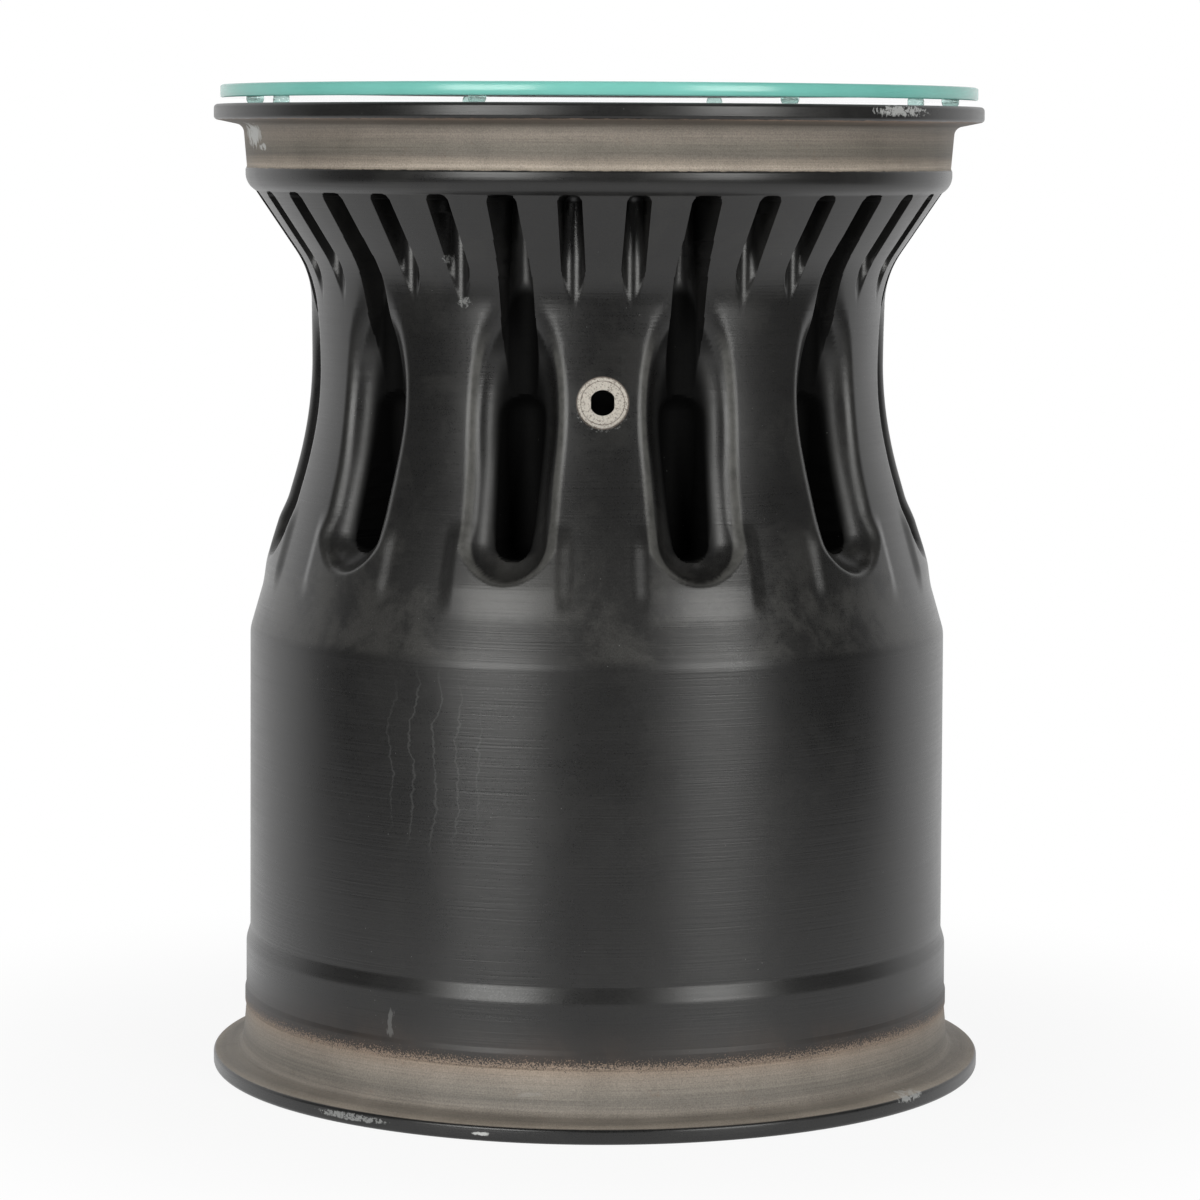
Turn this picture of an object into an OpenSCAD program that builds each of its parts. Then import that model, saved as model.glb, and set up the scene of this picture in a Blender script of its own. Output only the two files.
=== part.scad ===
// Side table made from a one-piece racing wheel rim that stands on its inner flange, with a round
// glass top held off the upper flange by small clear bumpers.
// Millimetres. Z is up, the origin is the centre of the foot, and the valve hole faces -Y.
// A depth is measured down from the upper flange's face, and an inset in from the flanges' edge.

/* [Rim] */
// Diameter over the two flanges
flange_d = 358; // [340:1:380]
// Height of the rim from flange face to flange face
rim_h = 447.4; // [420:0.2:480]
// Inset of the tyre's bead seat, 17.3 mm in from the flange's face
seat_inset = 14.3; // [13.6:0.1:15]
// Inset of the band between the lower bead seat and the cylinder
band_inset = 15.25; // [15:0.05:15.8]
// Inset of the long cylinder
cylinder_inset = 17.05; // [16:0.05:19]
// Inset of the waist
waist_inset = 45.3; // [43:0.1:46]
// Height at which the lower band steps in to the cylinder
band_top = 65; // [50:1:90]
// Depth at which the cylinder turns into the cone
cone_depth = 243.4; // [241.4:0.2:252]
// Depth at which the cone would meet the waist
waist_depth = 144.9; // [143.4:0.1:147]
// Depth at which the waist would meet the upper flare
flare_depth = 78.3; // [76.4:0.1:80]
// Thickness of the plain wall
wall = 4.2; // [3.4:0.1:4.6]

/* [Flanges] */
// Height of the upright outer edge of a flange
flange_edge = 6.9; // [5.5:0.1:8]
// Distance from the flange's face to the root of its sloping back
flange_root = 9.7; // [9:0.1:11]
// Radius of the fillet between flange and bead seat
flange_fillet = 4.2; // [2:0.1:5]
// Radius of the rounded edges of a flange
flange_round = 1.8; // [0.5:0.1:2.5]
// Bead seat taper in degrees
seat_taper = 5; // [4:0.5:6]
// Width of a flange and its bead seat, up to the safety hump or shoulder
seat_w = 28.6; // [27:0.1:30]
// Height of the safety hump above the end of the seat
hump_rise = 0.6; // [0.3:0.1:1]
// Width of the lower safety hump
hump_w = 7; // [5:0.5:9]
// Inset of the shoulder at the top of the flare
shoulder_inset = 14.65; // [14.3:0.05:15]
// How far the shoulder's round edge reaches out beyond the flare
shoulder_rise = 4.8; // [3:0.1:6]
// Radius of the shoulder's round edge
shoulder_round = 9; // [5:0.5:10]
// Width of the upper flange, from its edge to its bore
lip_w = 19.7; // [18:0.1:21]
// Depth of the ledge inside the upper flange
ledge_depth = 35.4; // [31:0.1:35.6]

/* [Grooves and pockets] */
// Number of pockets, which is also the number of spokes
pocket_count = 11; // [9:1:11]
// Short grooves between two pockets
short_per_pocket = 2; // [1:1:2]
// Width of a short groove
short_w = 11; // [8:0.5:12]
// How far outside the waist's radius a short groove's floor lies
short_floor_rise = 0.7; // [0.5:0.1:3]
// Depth of the round upper end of every groove
groove_depth = 39.9; // [39.9:0.1:45]
// Width of the long groove above a pocket and of the channel in the pocket's floor
long_w = 14; // [11:0.5:15]
// How far inside the waist's radius a long groove's floor lies
long_floor_drop = 13.7; // [10:0.5:15]
// Radius of the cutter that sweeps a pocket
pocket_r = 17.5; // [16:0.1:18]
// Depth of the centre of the pocket's lower end
pocket_low_depth = 190; // [186:0.2:191]
// Distance of that centre outside the waist's radius
pocket_low_out = 15.6; // [14.5:0.1:17]
// Depth of the innermost point of the pocket's sweep
pocket_mid_depth = 147.4; // [143:0.2:151]
// Distance of that point inside the waist's radius
pocket_mid_in = 0.2; // [-1:0.1:1]
// Depth at which the sweep runs out of the waist
pocket_high_depth = 95.4; // [93:0.2:101]
// Distance of the sweep's upper end outside the waist's radius
pocket_high_out = 17.3; // [16.5:0.1:19]
// How far inside the waist's radius the channel's floor lies where it is deepest
channel_drop = 21.7; // [20:0.1:22.5]
// Depth of the channel's innermost point
channel_mid_depth = 159.4; // [155:0.2:163]
// Depth at which the channel turns into the upright long groove
channel_high_depth = 129.4; // [123:0.2:133]
// Depth of the channel's lower end
channel_low_depth = 199; // [195:0.2:201]
// Rise of the pad around a pocket's lower end
pad_rise = 1.6; // [0.8:0.1:2]
// Half of the pad's arc in degrees
pad_half_arc = 9.9; // [8:0.1:11]
// Depth of the pad's lower end
pad_low_depth = 223.4; // [217:0.2:232]
// Depth of the pad's upper end
pad_high_depth = 183.4; // [177:0.2:185]

/* [Valve hole] */
// Depth of the valve hole
valve_depth = 130.6; // [125:0.2:135]
// Diameter of the spot face around the valve hole
valve_face_d = 23.2; // [20:0.2:26]
// Depth of the spot face below the waist's surface
valve_face_cut = 0.7; // [0.6:0.1:1.2]
// Diameter of the valve hole
valve_d = 11.4; // [10.5:0.1:12]
// Distance between the two upright flats of the valve hole
valve_flats = 10.3; // [9.5:0.1:10.4]

/* [Wheel centre] */
// How far inside the waist's radius the spokes meet the rim
spoke_end_drop = 27.7; // [26.7:0.1:29.7]
// Width of a spoke at the rim
spoke_w_out = 20; // [16:0.5:22]
// Width of a spoke at the hub
spoke_w_in = 14; // [10:0.5:17]
// Depth of the spoke's underside at the rim
spoke_low_depth = 179.4; // [167:0.2:185]
// Depth of the spoke's top at the rim
spoke_high_depth = 95.4; // [88:0.2:107]
// Diameter of the hub
hub_d = 142; // [138:1:150]
// Depth of the hub's underside
hub_low_depth = 163.4; // [155:0.2:171]
// Depth of the hub's top
hub_high_depth = 113.4; // [107:0.2:121]
// Diameter of the centre bore
bore_d = 78; // [70:1:80]
// Width of the nut seat ring, from the bore outwards
nut_ring_w = 7; // [5:0.5:7.5]
// Thickness of the nut seat ring
nut_ring_h = 9; // [6:0.5:12]
// Distance of the drive bushes inside the hub's edge, to their centres
bush_inset = 14; // [13:0.5:15]
// Outer diameter of a drive bush
bush_d = 17; // [14:0.5:18]
// Bore of a drive bush
pin_d = 12; // [9:0.5:13]

/* [Glass top] */
// Inset of the glass from the flange's edge
glass_inset = 3; // [-8:0.5:5]
// Thickness of the glass
glass_t = 6; // [4:0.5:10]
// Size of the ground edge of the glass
glass_arris = 0.8; // [0.2:0.1:1.5]
// Height of a bumper between rim and glass
bumper_h = 2.8; // [2:0.1:4]
// Diameter of a bumper where it is stuck to the glass
bumper_d = 8; // [6:0.2:10]
// Diameter of a bumper where it is pressed flat on the rim
bumper_foot_d = 4.5; // [2:0.1:5]
// Distance of the bumpers' centres from the edge of the glass
bumper_inset = 6.5; // [5.5:0.5:12]
// Gap left between the bumpers and the rim
rest_gap = 0.1; // [0.05:0.05:0.5]

/* [Hidden] */

$fn = 96;
outline_error = 0.1;   // largest distance of an outline's chord from its true arc
past = 5;              // how far a cutter runs past what it cuts
hub_proud = 3;         // the hub's faces stand this far above and below the spokes
seam_turn = 20;        // degrees that a round bar's seam stays out of its pocket's plane of symmetry
seat_gauge = 17.3;     // distance from the flange's face at which the seat is measured
bore_chamfer = 1.5;    // on the inner edge of both flanges
flare_slope = 0.675;   // outwards per millimetre up
shoulder_slope = 1.28; // under the shoulder's round edge

flange_r = flange_d / 2;
waist_r = flange_r - waist_inset;
cylinder_r = flange_r - cylinder_inset;
band_r = flange_r - band_inset;
shoulder_r = flange_r - shoulder_inset;
lip_bore_r = flange_r - lip_w;
bore_wall_r = cylinder_r - wall;
throat_r = waist_r - wall + 0.5;

cylinder_top = rim_h - cone_depth;
waist_bottom = rim_h - waist_depth;
waist_top = rim_h - flare_depth;
groove_top = rim_h - groove_depth;
flare_end_r = shoulder_r - shoulder_rise;
flare_end_z = waist_top + (flare_end_r - waist_r) / flare_slope;
cone_slope = (cylinder_r - waist_r) / (waist_bottom - cylinder_top);

spoke_end = waist_r - spoke_end_drop;
spoke_low = rim_h - spoke_low_depth;
spoke_high = rim_h - spoke_high_depth;
hub_r = hub_d / 2;
hub_low = rim_h - hub_low_depth;
hub_high = rim_h - hub_high_depth;
nut_ring_r = bore_d / 2 + nut_ring_w;
bush_ring = hub_r - bush_inset;

pocket_pitch = 360 / pocket_count;
groove_pitch = pocket_pitch / (short_per_pocket + 1);
glass_r = flange_r - glass_inset;
glass_bottom = rim_h + rest_gap + bumper_h;
bumper_count = 8;
bumper_pitch = 360 / bumper_count;
first_bumper = -65.9;
// Each bumper was stuck on by hand, a few degrees off an even spacing
bumper_slips = [-1, 2, 4, -0.5, 0.5, 0, -2.5, -5];

// Radius of the bead seat at a distance from its flange's face
function seat_r(from_face) = flange_r - seat_inset - (from_face - seat_gauge) * tan(seat_taper);

// Corners of one flange and its seat as [radius, distance from the face, fillet]
function flange_corners() = [
  [flange_r, 0, flange_round],
  [flange_r, flange_edge, flange_round],
  [seat_r(flange_root), flange_root, flange_fillet],
  [seat_r(seat_w), seat_w, 0]
];

function outer_corners() = concat(
  flange_corners(),
  [
    [seat_r(seat_w) + hump_rise, seat_w + 1.2, 1],
    [seat_r(seat_w) + hump_rise, seat_w + hump_w, 1],
    [band_r, seat_w + hump_w + 2, 1],
    [band_r, band_top - 3, 2],
    [cylinder_r, band_top + 3, 4],
    [cylinder_r, cylinder_top, 10],
    [waist_r, waist_bottom, 200],
    [waist_r, waist_top, 42],
    [flare_end_r, flare_end_z, 1.5],
    [shoulder_r, flare_end_z + shoulder_rise / shoulder_slope, shoulder_round],
    [shoulder_r, rim_h - seat_w - 1.4, 0]
  ],
  [for (i = [3:-1:0]) let (c = flange_corners()[i]) [c[0], rim_h - c[1], c[2]]]
);

function inner_corners() = [
  [0, rim_h + 1, 0],
  [lip_bore_r + bore_chamfer + 1, rim_h + 1, 0],
  [lip_bore_r, rim_h - bore_chamfer, 2],
  [lip_bore_r, rim_h - ledge_depth, 3],
  [throat_r, rim_h - ledge_depth, 5],
  [throat_r, waist_bottom - 3, 180],
  [bore_wall_r, cylinder_top - 3, 20],
  [bore_wall_r, bore_chamfer, 2],
  [bore_wall_r + bore_chamfer + 1, -1, 0],
  [0, -1, 0]
];

function unit(v) = v / norm(v);
function xy(corner) = [corner[0], corner[1]];

// Arc of radius r that rounds the corner b between its neighbours a and c
function rounded(a, b, c, r) =
  let (
    u = unit(a - b),
    v = unit(c - b),
    half = acos(u * v) / 2,
    centre = b + unit(u + v) * r / sin(half),
    from = b + u * r / tan(half) - centre,
    to = b + v * r / tan(half) - centre,
    start = atan2(from[1], from[0]),
    raw = atan2(to[1], to[0]) - start,
    turn = raw > 180 ? raw - 360 : raw < -180 ? raw + 360 : raw,
    steps = ceil(abs(turn) / (2 * acos(1 - outline_error / r)))
  )
  [for (i = [0:steps]) centre + r * [cos(start + turn * i / steps), sin(start + turn * i / steps)]];

// Closed outline through corners given as [x, y, fillet]
function outline(corners) =
  let (n = len(corners))
  [for (i = [0:n - 1])
    let (
      b = corners[i],
      arc = b[2] > 0
        ? rounded(xy(corners[(i + n - 1) % n]), xy(b), xy(corners[(i + 1) % n]), b[2])
        : [xy(b)]
    )
    for (p = arc) p];

// Things at an angle from the valve, counted towards +X
module at_angle(a) {
  rotate([0, 0, a - 90]) children();
}

module around_pockets() {
  for (i = [0:pocket_count - 1])
    at_angle((i + 0.5) * pocket_pitch) children();
}

// Bar of radius r between two points of the XZ plane, round at a and flat or round at b
module bar(a, b, r, round_b = false) {
  length = norm(b - a);
  translate([a[0], 0, a[1]])
    rotate([0, atan2(b[0] - a[0], b[1] - a[1]), 0])
      rotate([0, 0, seam_turn])
        rotate_extrude()
          intersection() {
            union() {
              circle(r);
              square([r, length]);
              if (round_b) translate([0, length]) circle(r);
            }
            translate([0, -r]) square([r, length + 2 * r]);
          }
}

// Upright groove with a U-shaped floor and a round upper end
module groove(floor_x, width, low, high, grow, round_low = false) {
  r = width / 2;
  axis_x = floor_x + r;
  bar([axis_x, high - r], [axis_x, low], r + grow, round_low);
  translate([axis_x, 0, 0])
    rotate([0, 90, 0])
      linear_extrude(flange_r - axis_x)
        union() {
          translate([-(high - r), 0]) circle(r + grow);
          translate([-(high - r), -r - grow]) square([high - r - low, width + 2 * grow]);
        }
}

// Swept hollow of one pocket
module hollow(grow) {
  low = [waist_r + pocket_low_out, rim_h - pocket_low_depth];
  mid = [waist_r - pocket_mid_in, rim_h - pocket_mid_depth];
  high = [waist_r + pocket_high_out, rim_h - pocket_high_depth];
  bar(low, mid, pocket_r + grow);
  bar(mid, high, pocket_r + grow);
}

// Space of one pocket: the swept hollow, the channel in its floor and the long groove above it
module pocket() {
  r = long_w / 2;
  long_floor = waist_r - long_floor_drop;
  low = [waist_r + pocket_low_out - pocket_r + r, rim_h - channel_low_depth + r];
  mid = [waist_r - channel_drop + r, rim_h - channel_mid_depth];
  high = [long_floor + r, rim_h - channel_high_depth];
  hollow(0);
  bar(low, mid, r);
  bar(mid, high, r);
  groove(long_floor, long_w, high[1], groove_top, 0, true);
}

// Metal behind one pocket, inside the rim, with the flat seat of its spoke
module pocket_back() {
  r = long_w / 2 + wall;
  nose_x = waist_r - channel_drop + long_w / 2;
  hollow(wall);
  groove(waist_r - long_floor_drop, long_w, spoke_high - past, groove_top, wall);
  translate([0, 0, spoke_low])
    linear_extrude(spoke_high - spoke_low)
      union() {
        translate([nose_x, 0]) circle(r);
        translate([nose_x, -r]) square([r, 2 * r]);
        translate([spoke_end, -spoke_w_out / 2]) square([r, spoke_w_out]);
      }
}

module pad() {
  outer = function (z) waist_r + (waist_bottom - z) * cone_slope;
  low = rim_h - pad_low_depth;
  high = rim_h - pad_high_depth;
  rotate([0, 0, -pad_half_arc])
    rotate_extrude(angle = 2 * pad_half_arc)
      polygon([
        [outer(low) - 1, low],
        [outer(low + 12) + pad_rise, low + 12],
        [outer(high - 8) + pad_rise, high - 8],
        [outer(high) - 1, high]
      ]);
}

module rim_barrel() {
  color("#2e2e2f")
  difference() {
    union() {
      rotate_extrude() polygon(outline(concat([[0, 0, 0]], outer_corners(), [[0, rim_h, 0]])));
      around_pockets() pad();
    }
    difference() {
      rotate_extrude() polygon(outline(inner_corners()));
      around_pockets() pocket_back();
    }
    around_pockets() pocket();
    for (i = [0:pocket_count - 1], j = [0:short_per_pocket - 1])
      at_angle((i - 0.5) * pocket_pitch + (j + 1) * groove_pitch)
        groove(waist_r + short_floor_rise, short_w, waist_top - 17, groove_top, 0);
    valve_hole();
  }
}

module valve_hole() {
  at_angle(0) {
    translate([waist_r - valve_face_cut, 0, rim_h - valve_depth])
      rotate([0, 90, 0]) cylinder(d = valve_face_d, h = 4 * past);
    translate([throat_r - 4 * past, 0, rim_h - valve_depth])
      rotate([0, 90, 0])
        linear_extrude(8 * past)
          intersection() {
            circle(d = valve_d);
            square([valve_d, valve_flats], center = true);
          }
  }
}

// Side outline of one spoke, from inside the hub to its seat on the rim
function spoke_side() =
  let (
    inside = (hub_r + bush_ring) / 2,
    span = spoke_end - hub_r,
    bend = hub_r + 0.11 * span
  )
  [
    [inside, hub_low + hub_proud, 0],
    [bend, hub_low + hub_proud, 0.57 * span],
    [spoke_end, spoke_low, 0],
    [spoke_end, spoke_high, 0],
    [bend, hub_high - hub_proud, 0.86 * span],
    [inside, hub_high - hub_proud, 0]
  ];

module spoke() {
  w_past_end = spoke_w_out + (spoke_w_out - spoke_w_in) * past / (spoke_end - hub_r);
  intersection() {
    rotate([90, 0, 0])
      linear_extrude(w_past_end, center = true) polygon(outline(spoke_side()));
    translate([0, 0, spoke_low - past])
      linear_extrude(spoke_high - spoke_low + 2 * past)
        polygon([
          [0, -spoke_w_in / 2],
          [hub_r, -spoke_w_in / 2],
          [spoke_end + past, -w_past_end / 2],
          [spoke_end + past, w_past_end / 2],
          [hub_r, spoke_w_in / 2],
          [0, spoke_w_in / 2]
        ]);
  }
}

module wheel_centre() {
  color("#333334")
  difference() {
    union() {
      translate([0, 0, hub_low]) cylinder(r = hub_r, h = hub_high - hub_low);
      around_pockets() spoke();
    }
    translate([0, 0, hub_low - 1]) cylinder(d = bore_d, h = hub_high - hub_low + 2);
    translate([0, 0, hub_high - nut_ring_h]) cylinder(r = nut_ring_r, h = nut_ring_h + 1);
    around_pockets()
      translate([bush_ring, 0, hub_low - 1]) cylinder(d = bush_d, h = hub_high - hub_low + 2);
  }
}

// Ring let into the hub, with the cone that a wheel nut bears on
module nut_seat_ring() {
  color("#8d8f92")
  translate([0, 0, hub_high - nut_ring_h])
    rotate_extrude()
      polygon([
        [bore_d / 2, 0],
        [nut_ring_r, 0],
        [nut_ring_r, nut_ring_h],
        [nut_ring_r - 1.2, nut_ring_h],
        [bore_d / 2, 2]
      ]);
}

module drive_bush(i) {
  color("#a5a7aa")
  at_angle((i - 0.5) * pocket_pitch)
    translate([bush_ring, 0, hub_low])
      difference() {
        cylinder(d = bush_d, h = hub_high - hub_low);
        translate([0, 0, -1]) cylinder(d = pin_d, h = hub_high - hub_low + 2);
      }
}

module glass_top() {
  color([0.62, 0.86, 0.8, 0.6])
  translate([0, 0, glass_bottom])
    rotate_extrude()
      polygon([
        [0, 0],
        [glass_r - glass_arris, 0],
        [glass_r, glass_arris],
        [glass_r, glass_t - glass_arris],
        [glass_r - glass_arris, glass_t],
        [0, glass_t]
      ]);
}

// Clear dome stuck to the underside of the glass and pressed flat on the rim
module bumper(i) {
  r_top = bumper_d / 2;
  r_foot = bumper_foot_d / 2;
  rise = (pow(r_top, 2) - pow(r_foot, 2) - pow(bumper_h, 2)) / (2 * bumper_h);
  color([0.9, 0.95, 0.93, 0.7])
  at_angle(first_bumper + (i - 1) * bumper_pitch + bumper_slips[i - 1])
    translate([glass_r - bumper_inset, 0, glass_bottom])
      intersection() {
        translate([0, 0, -rise]) sphere(r = norm([r_top, rise]));
        translate([-r_top, -r_top, -bumper_h]) cube([2 * r_top, 2 * r_top, bumper_h]);
      }
}

rim_barrel();
wheel_centre();
nut_seat_ring();
for (i = [1:pocket_count])
  drive_bush(i);
glass_top();
for (i = [1:bumper_count])
  bumper(i);
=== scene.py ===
# Side table made from a racing wheel rim with a round glass top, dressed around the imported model.
# The dictionaries of pieces give millimetres and degrees. Meshes, finishes and the studio are in metres.
import math

import bmesh
import bpy
import numpy as np
from mathutils import Matrix, Vector


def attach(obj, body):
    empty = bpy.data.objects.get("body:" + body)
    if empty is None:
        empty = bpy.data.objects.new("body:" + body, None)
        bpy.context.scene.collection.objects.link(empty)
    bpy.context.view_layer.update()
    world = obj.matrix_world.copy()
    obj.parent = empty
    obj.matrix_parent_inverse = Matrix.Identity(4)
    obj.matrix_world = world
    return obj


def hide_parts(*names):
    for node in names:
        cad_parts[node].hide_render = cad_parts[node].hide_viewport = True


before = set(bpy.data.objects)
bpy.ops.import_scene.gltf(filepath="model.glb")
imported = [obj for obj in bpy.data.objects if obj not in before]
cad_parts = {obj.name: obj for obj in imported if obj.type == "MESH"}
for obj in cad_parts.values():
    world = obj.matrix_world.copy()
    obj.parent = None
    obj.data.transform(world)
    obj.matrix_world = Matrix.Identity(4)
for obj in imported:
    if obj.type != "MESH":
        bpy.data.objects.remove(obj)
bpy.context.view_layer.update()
mm = 0.001
print("frame loaded with", len(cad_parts), "nodes")


def addObject(name, data):
    obj = bpy.data.objects.new(name, data)
    bpy.context.scene.collection.objects.link(obj)
    return obj


# Camera

camera = {
    "lens": 126.77,
    "distance": 1973.7,
    "height": 429.3,
    "turn": 0.9,  # from straight in front of the valve, towards -X
    "down": 2.97,
    "roll": 0.267,
    "shiftX": 0.0016,
    "shiftY": -0.1966,
}


def addCamera():
    data = bpy.data.cameras.new("camera")
    obj = addObject("camera", data)
    data.lens = camera["lens"]
    data.sensor_width = 36
    data.shift_x = camera["shiftX"]
    data.shift_y = camera["shiftY"]
    data.clip_end = 50
    turn = math.radians(camera["turn"])
    away = camera["distance"] * mm
    place = Vector((-away * math.sin(turn), -away * math.cos(turn), camera["height"] * mm))
    tilt = Matrix.Rotation(math.radians(90 - camera["down"]), 4, "X")
    roll = Matrix.Rotation(math.radians(camera["roll"]), 4, "Z")
    obj.matrix_world = Matrix.Translation(place) @ Matrix.Rotation(-turn, 4, "Z") @ tilt @ roll
    bpy.context.scene.camera = obj


addCamera()
print("camera placed")


# Outlines

# Points through corners given as (r, z, fillet), with each fillet as an arc
def filleted(corners, chord=0.01):
    points = []
    for i, (r, z, fillet) in enumerate(corners):
        here = np.array((r, z), float)
        if fillet == 0 or i in (0, len(corners) - 1):
            points.append(here)
            continue
        back = np.array(corners[i - 1][:2], float) - here
        ahead = np.array(corners[i + 1][:2], float) - here
        back /= np.linalg.norm(back)
        ahead /= np.linalg.norm(ahead)
        half = math.acos(float(np.clip(back @ ahead, -1, 1))) / 2
        middle = back + ahead
        centre = here + middle / np.linalg.norm(middle) * fillet / math.sin(half)
        first = here + back * fillet / math.tan(half) - centre
        last = here + ahead * fillet / math.tan(half) - centre
        start = math.atan2(first[1], first[0])
        turn = math.atan2(last[1], last[0]) - start
        turn = (turn + math.pi) % (2 * math.pi) - math.pi
        count = max(2, math.ceil(abs(turn) / (2 * math.acos(1 - chord / fillet))))
        for k in range(count + 1):
            angle = start + turn * k / count
            points.append(centre + fillet * np.array((math.cos(angle), math.sin(angle))))
    return np.array(points)


# The stretch of an outline between two heights, with ends put exactly on them
def between(points, low, high):
    z = points[:, 1]
    rising = z[-1] > z[0]
    ordered = points if rising else points[::-1]
    ends = [np.array((np.interp(h, ordered[:, 1], ordered[:, 0]), h)) for h in (low, high)]
    inside = [p for p in ordered if low + 0.02 < p[1] < high - 0.02]
    stretch = np.array([ends[0]] + inside + [ends[1]])
    return stretch if rising else stretch[::-1]


# Values that run through the stops, with the given number of steps between each two
def spaced(stops, counts):
    values = [stops[0]]
    for a, b, count in zip(stops, stops[1:], counts):
        values += [a + (b - a) * k / count for k in range(1, count + 1)]
    return np.array(values, float)


# Turns an outline of (r, z) round the upright axis: first one eleventh, then its copies
def spun(name, outline, steps, closed=True):
    bm = bmesh.new()
    chain = [bm.verts.new((0, -r * mm, z * mm)) for r, z in outline]
    pairs = list(zip(chain, chain[1:]))
    if closed:
        pairs.append((chain[-1], chain[0]))
    edges = [bm.edges.new(pair) for pair in pairs]
    share = 2 * math.pi / rim["pocketCount"]
    bmesh.ops.spin(
        bm, geom=chain + edges, cent=(0, 0, 0), axis=(0, 0, 1), angle=share, steps=steps // rim["pocketCount"]
    )
    bmesh.ops.spin(
        bm, geom=bm.verts[:] + bm.edges[:] + bm.faces[:], cent=(0, 0, 0), axis=(0, 0, 1),
        angle=2 * math.pi - share, steps=rim["pocketCount"] - 1, use_duplicate=True
    )
    bmesh.ops.remove_doubles(bm, verts=bm.verts, dist=1e-6)
    bmesh.ops.recalc_face_normals(bm, faces=bm.faces)
    return finished(name, bm)


def finished(name, bm):
    mesh = bpy.data.meshes.new(name)
    bm.to_mesh(mesh)
    bm.free()
    obj = addObject(name, mesh)
    smooth(obj)
    return obj


def smooth(obj, angle=32):
    obj.data.shade_smooth()
    obj.data.set_sharp_from_angle(angle=math.radians(angle))


# Applies a boolean and removes the tool
def cut(obj, tool, operation="DIFFERENCE"):
    modifier = obj.modifiers.new("cut", "BOOLEAN")
    modifier.object = tool
    modifier.operation = operation
    modifier.solver = "MANIFOLD"
    graph = bpy.context.evaluated_depsgraph_get()
    mesh = bpy.data.meshes.new_from_object(obj.evaluated_get(graph))
    obj.modifiers.clear()
    old = obj.data
    obj.data = mesh
    mesh.name = obj.name
    bpy.data.meshes.remove(old)
    bpy.data.objects.remove(tool)
    smooth(obj)


# Rim

rim = {
    "flangeR": 179,
    "height": 447.4,
    "seatR": 164.7,
    "seatGauge": 17.3,
    "seatTaper": 5,
    "seatW": 28.6,
    "flangeEdge": 6.9,
    "flangeRoot": 9.7,
    "humpRise": 0.6,
    "humpW": 7,
    "bandR": 163.75,
    "bandTop": 61.5,
    "cylinderR": 161.95,
    "cylinderTop": 204,
    "waistR": 133.7,
    "waistBottom": 302.5,
    "waistTop": 369.1,
    "flareEnd": (159.55, 407.4),
    "shoulder": (164.35, 411.15),
    "lipBoreR": 159.3,
    "ledgeZ": 412,
    "throatR": 130,
    "boreWallR": 157.75,
    "pocketCount": 11,
    "barrelEnd": 214,  # where the barrel piece meets the waist piece
    "coneEnd": 270,
    "waistEnd": 355.8,
    "flareTop": 416.9,
    "plainSteps": 330,
}


def seatRadius(fromFace):
    return rim["seatR"] - (fromFace - rim["seatGauge"]) * math.tan(math.radians(rim["seatTaper"]))


def rimOutside():
    top = rim["height"]
    seatEnd = seatRadius(rim["seatW"])
    flange = [
        (rim["flangeR"], 0, 1.8),
        (rim["flangeR"], rim["flangeEdge"], 1.8),
        (seatRadius(rim["flangeRoot"]), rim["flangeRoot"], 4.2),
        (seatEnd, rim["seatW"], 0.8),
    ]
    humpR = seatEnd + rim["humpRise"]
    humpEnd = rim["seatW"] + rim["humpW"]
    body = [
        (humpR, rim["seatW"] + 1.2, 1),
        (humpR, humpEnd, 1),
        (rim["bandR"], humpEnd + 2, 1),
        (rim["bandR"], rim["bandTop"] - 3, 10),
        (rim["cylinderR"], rim["bandTop"] + 3, 5),
        (rim["cylinderR"], rim["cylinderTop"], 16),
        (rim["waistR"], rim["waistBottom"], 200),
        (rim["waistR"], rim["waistTop"], 42),
        (*rim["flareEnd"], 1.5),
        (*rim["shoulder"], 9),
        (rim["shoulder"][0], top - rim["seatW"] - 1.4, 0.3),
    ]
    upper = [(r, top - z, fillet) for r, z, fillet in flange[::-1]]
    upper[0] = (*upper[0][:2], 0.3)
    start = (rim["flangeR"] - 6, 0, 0)
    end = (rim["flangeR"] - 6, top, 0)
    return filleted([start] + flange + body + upper + [end])


def rimInside():
    top = rim["height"]
    return filleted([
        (rim["lipBoreR"] + 6, top, 0),
        (rim["lipBoreR"] + 1.5, top, 0.6),
        (rim["lipBoreR"], top - 1.5, 0.6),
        (rim["lipBoreR"], rim["ledgeZ"], 3),
        (rim["throatR"], rim["ledgeZ"], 5),
        (rim["throatR"], rim["waistBottom"] - 3, 180),
        (rim["boreWallR"], rim["cylinderTop"] - 3, 20),
        (rim["boreWallR"], 1.5, 0.6),
        (rim["boreWallR"] + 1.5, 0, 0.6),
        (rim["boreWallR"] + 7, 0, 0),
    ], chord=0.03)


outside = rimOutside()
inside = rimInside()
outsideUp = outside[(outside[:, 1] > 1) & (outside[:, 1] < rim["height"] - 1)]
throat = inside[(inside[:, 1] > 1.6) & (inside[:, 1] < rim["ledgeZ"] - 0.02) & (inside[:, 0] < 159)][::-1]


def outerR(z):
    return np.interp(z, outsideUp[:, 1], outsideUp[:, 0])


def innerR(z):
    return np.interp(z, throat[:, 1], throat[:, 0])


# Turns a gap measured outwards into one measured square to a sloping wall
def lean(radius, z):
    slope = (radius(z + 0.2) - radius(z - 0.2)) / 0.4
    return 1 / np.sqrt(1 + slope * slope)


# Pockets and grooves

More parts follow.
